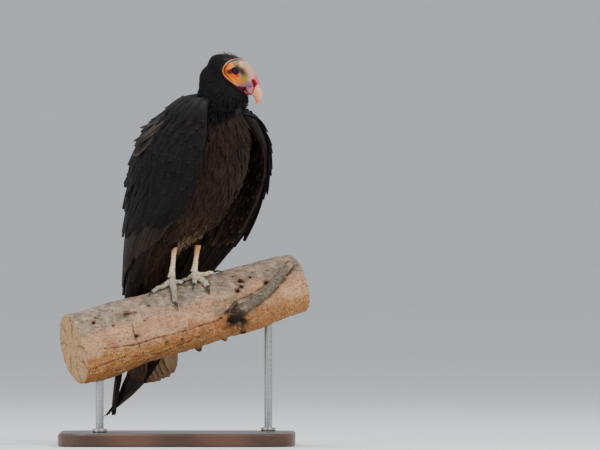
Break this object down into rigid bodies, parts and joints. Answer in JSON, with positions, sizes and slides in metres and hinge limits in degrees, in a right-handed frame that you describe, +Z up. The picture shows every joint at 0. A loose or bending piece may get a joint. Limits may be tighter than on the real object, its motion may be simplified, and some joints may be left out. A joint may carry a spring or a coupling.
{
  "type": "lesser yellow-headed vulture on a display stand",
  "caption": "Life-size perched vulture, wings folded and head turned over one shoulder, gripping a cut length of branch that rods hold over a flat base.",
  "frame": {"origin": "centre of the underside of the stand's base, on the floor", "axes": "+Z up; the bird is seen from its front right with the camera looking along +Y, its tail to the left of the picture and the bill to the right, +X"},
  "size_m": [0.3399, 0.24, 0.5287],
  "materials": {
    "flight_feathers": "satin",
    "breast_feathers": "matt",
    "hood_feathers": "matt",
    "face_skin": "satin",
    "horn": "semi-gloss",
    "eye": "gloss",
    "leg_skin": "matt, scaled",
    "claw_horn": "semi-gloss",
    "bark": "weathered, rough",
    "stand_wood": "satin varnish",
    "stand_steel": "brushed"
  },
  "bodies": {
    "root": {"head": "face_skin", "bill_upper": "horn", "bill_lower": "horn", "eye_right": "eye", "eye_left": "eye", "neck": "hood_feathers", "trunk": "breast_feathers", "tail": "flight_feathers", "perch": "bark", "stand_base": "stand_wood", "stand_rod_1": "stand_steel", "stand_rod_2": "stand_steel", "wing_right_coverts": "flight_feathers", "wing_right_secondaries": "flight_feathers", "wing_right_primaries": "flight_feathers", "thigh_right": "breast_feathers", "shank_right": "leg_skin", "foot_right": "leg_skin", "claw_right_inner": "claw_horn", "claw_right_middle": "claw_horn", "claw_right_outer": "claw_horn", "claw_right_hind": "claw_horn", "wing_left_coverts": "flight_feathers", "wing_left_secondaries": "flight_feathers", "wing_left_primaries": "flight_feathers", "thigh_left": "breast_feathers", "shank_left": "leg_skin", "foot_left": "leg_skin", "claw_left_inner": "claw_horn", "claw_left_middle": "claw_horn", "claw_left_outer": "claw_horn", "claw_left_hind": "claw_horn"}
  },
  "joints": []
}
